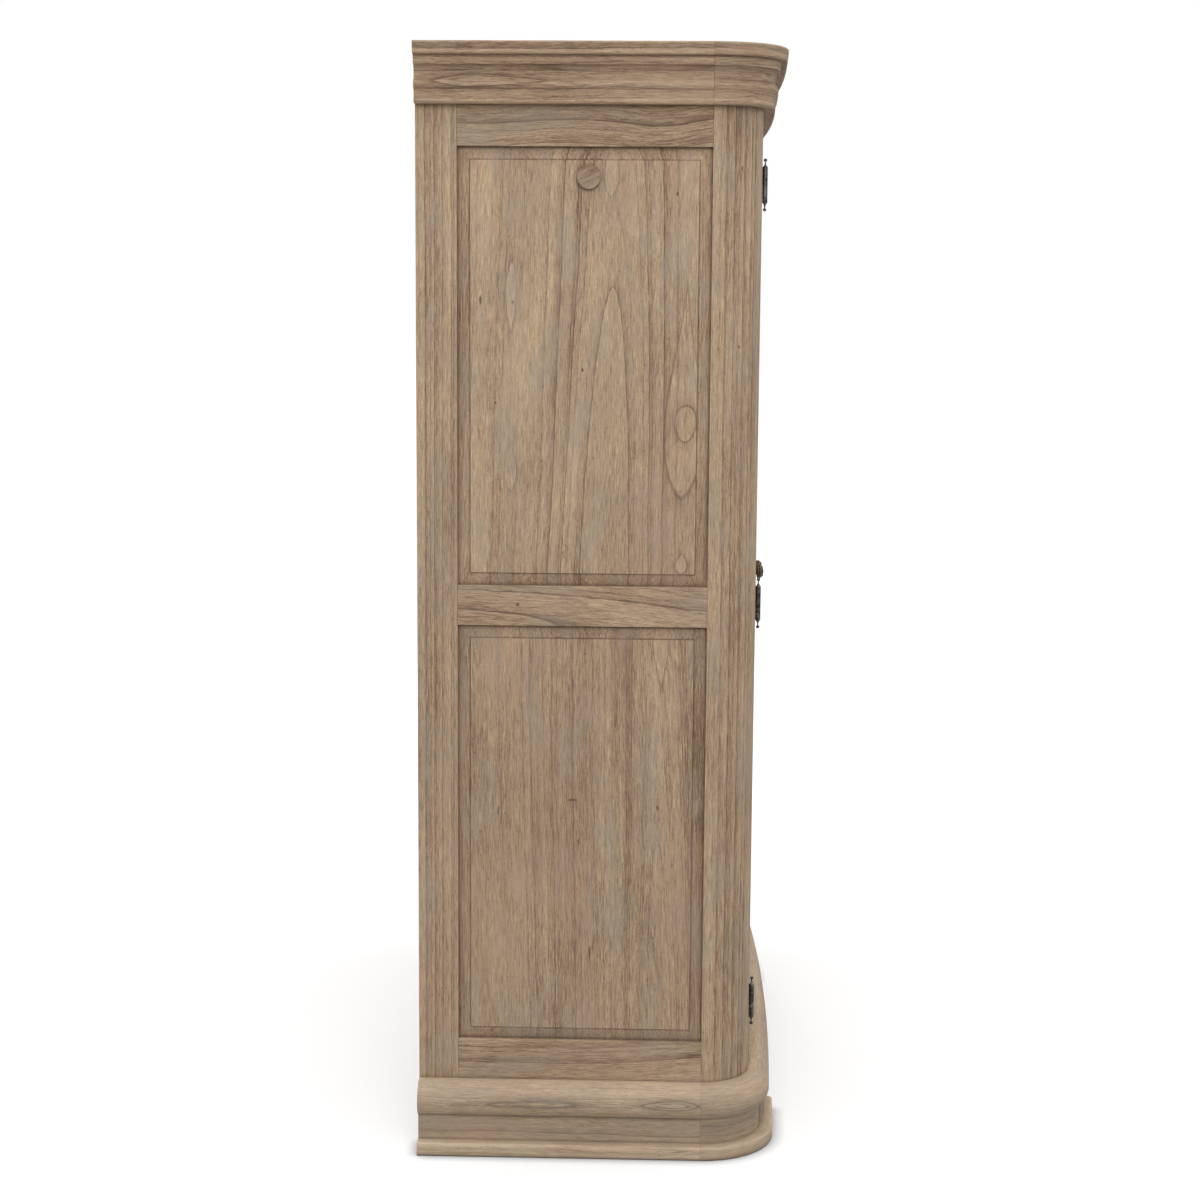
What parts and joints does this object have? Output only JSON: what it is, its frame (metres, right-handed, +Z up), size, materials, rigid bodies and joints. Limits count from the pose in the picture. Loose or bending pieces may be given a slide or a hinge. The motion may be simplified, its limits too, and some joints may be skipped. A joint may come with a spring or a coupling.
{
  "type": "wardrobe",
  "caption": "Bow-front wardrobe with framed and fielded doors and sides, moulded cornice and plinth, hanging rail and shoe shelf.",
  "frame": {"origin": "middle of the base on the floor: half way across, and half way from the cornice's bowed front to the back", "axes": "+Z up, -Y towards someone in front of the doors, +X to that person's right"},
  "size_m": [1.432, 0.7094, 2.134],
  "materials": {
    "frame_wood": "weathered grey-brown open-grained wood, matt",
    "panel_wood": "weathered wood with cathedral figure, matt",
    "moulding_wood": "weathered wood, matt, a little redder",
    "inner_wood": "plain matt wood",
    "back_wood": "plain matt wood board",
    "black_iron": "blackened iron, waxed",
    "dark_screws": "blackened steel",
    "aged_brass": "aged brass, dark in the hollows",
    "steel_strike": "zinc plated",
    "catch_housing": "brown moulded plastic"
  },
  "bodies": {
    "carcass": {"back_muntin": "back_wood", "clothes_rail": "inner_wood", "clothes_rail_caps": "frame_wood", "cornice_front": "moulding_wood", "door_catches": "catch_housing", "floor_board": "inner_wood", "front_bottom_rail": "frame_wood", "front_top_rail": "frame_wood", "hinge_jamb_leaves": "black_iron", "hinge_jamb_screws": "dark_screws", "ledger_strips": "inner_wood", "left_back_panel": "back_wood", "left_cornice_corner": "moulding_wood", "left_cornice_side": "moulding_wood", "left_front_post": "frame_wood", "left_lower_side_panel": "panel_wood", "left_plinth_corner": "moulding_wood", "left_plinth_side": "moulding_wood", "left_rear_stile": "frame_wood", "left_side_bottom_rail": "frame_wood", "left_side_middle_rail": "frame_wood", "left_side_top_rail": "frame_wood", "left_upper_side_panel": "panel_wood", "plinth_front": "moulding_wood", "right_back_panel": "back_wood", "right_cornice_corner": "moulding_wood", "right_cornice_side": "moulding_wood", "right_front_post": "frame_wood", "right_lower_side_panel": "panel_wood", "right_plinth_corner": "moulding_wood", "right_plinth_side": "moulding_wood", "right_rear_stile": "frame_wood", "right_side_bottom_rail": "frame_wood", "right_side_middle_rail": "frame_wood", "right_side_top_rail": "frame_wood", "right_upper_side_panel": "panel_wood", "shoe_shelf": "inner_wood", "top_board": "inner_wood"},
    "left_door": {"left_door_bottom_rail": "frame_wood", "left_door_hinge_leaves": "black_iron", "left_door_hinge_screws": "dark_screws", "left_door_hinge_stile": "frame_wood", "left_door_knob": "aged_brass", "left_door_lower_panel": "panel_wood", "left_door_meeting_stile": "frame_wood", "left_door_middle_rail": "frame_wood", "left_door_strike": "steel_strike", "left_door_top_rail": "frame_wood", "left_door_upper_panel": "panel_wood"},
    "right_door": {"right_door_bottom_rail": "frame_wood", "right_door_hinge_leaves": "black_iron", "right_door_hinge_screws": "dark_screws", "right_door_hinge_stile": "frame_wood", "right_door_knob": "aged_brass", "right_door_lower_panel": "panel_wood", "right_door_meeting_stile": "frame_wood", "right_door_middle_rail": "frame_wood", "right_door_strike": "steel_strike", "right_door_top_rail": "frame_wood", "right_door_upper_panel": "panel_wood"}
  },
  "joints": [
    {"name": "left_door_hinge", "type": "hinge", "parent": "carcass", "child": "left_door", "pos_m": [-0.558, -0.30124, 1.0794], "axis": [0, 0, -1], "range_deg": [0, 180]},
    {"name": "right_door_hinge", "type": "hinge", "parent": "carcass", "child": "right_door", "pos_m": [0.558, -0.30124, 1.0794], "axis": [0, 0, 1], "range_deg": [0, 180]}
  ]
}
